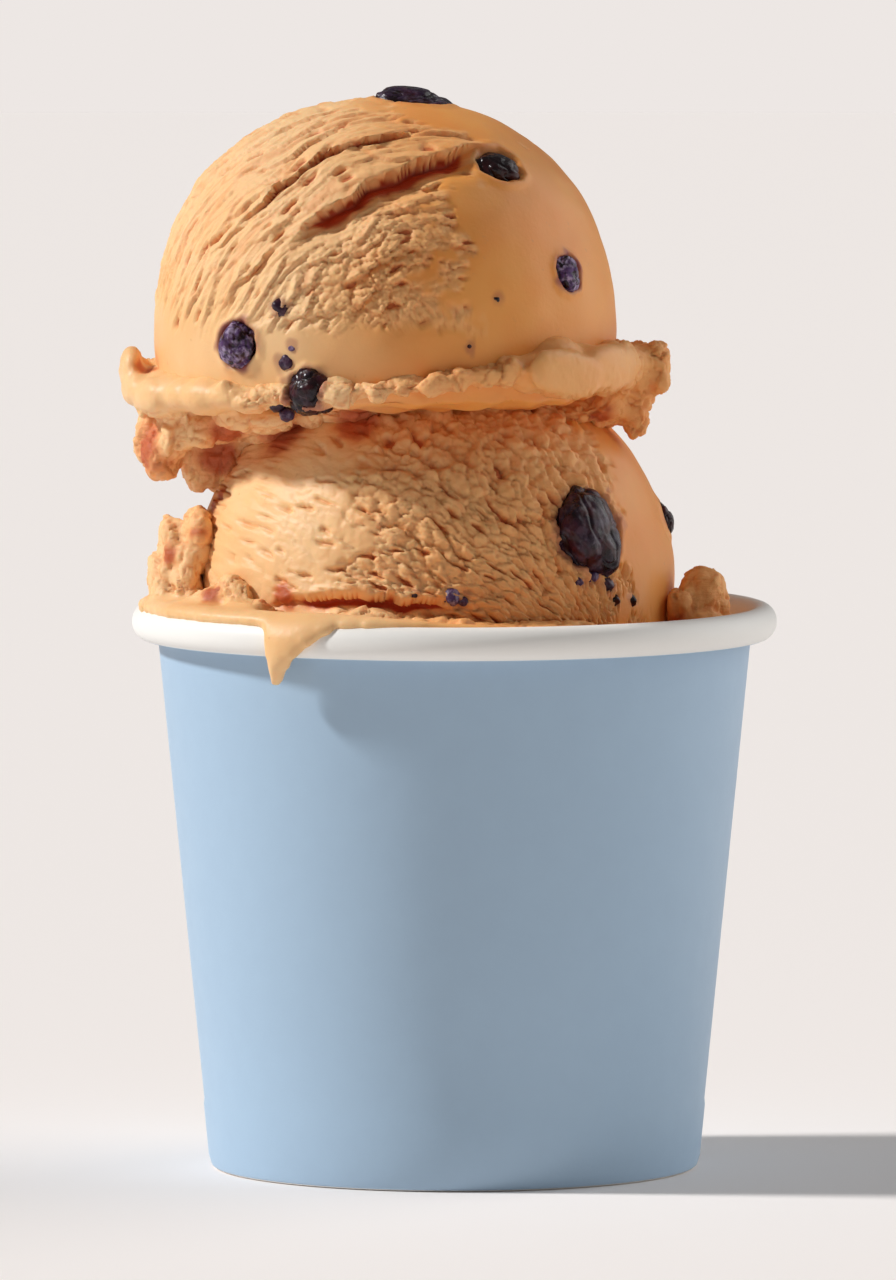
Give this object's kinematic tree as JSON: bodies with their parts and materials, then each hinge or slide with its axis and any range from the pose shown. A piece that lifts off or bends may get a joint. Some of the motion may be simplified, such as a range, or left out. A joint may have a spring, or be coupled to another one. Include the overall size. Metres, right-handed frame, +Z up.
{
  "type": "gelato cup",
  "caption": "Rolled-rim paper cup filled with gelato, topped by stacked caramel-coloured scoops with dark berries set into them.",
  "frame": {"origin": "centre of the ring that the cup stands on", "axes": "+Z up along the cup's axis, -Y towards the front, +X to the right as seen from the front"},
  "size_m": [0.0814, 0.08, 0.1341],
  "materials": {
    "paper_wall": "coated paper, pale blue outside and white inside and on the rolled rim",
    "paper_bottom": "coated white paper",
    "gelato": "caramel-coloured gelato, soft uneven sheen, torn and creamy",
    "berry": "dark purple-black berry, wet and wrinkled"
  },
  "bodies": {
    "root": {"cup_wall": "paper_wall", "cup_bottom": "paper_bottom", "scoop_lower": "gelato", "scoop_upper": "gelato", "berry_01": "berry", "berry_02": "berry", "berry_03": "berry", "berry_04": "berry", "berry_05": "berry", "berry_06": "berry", "berry_07": "berry", "berry_08": "berry", "berry_09": "berry", "berry_10": "berry"}
  },
  "joints": []
}
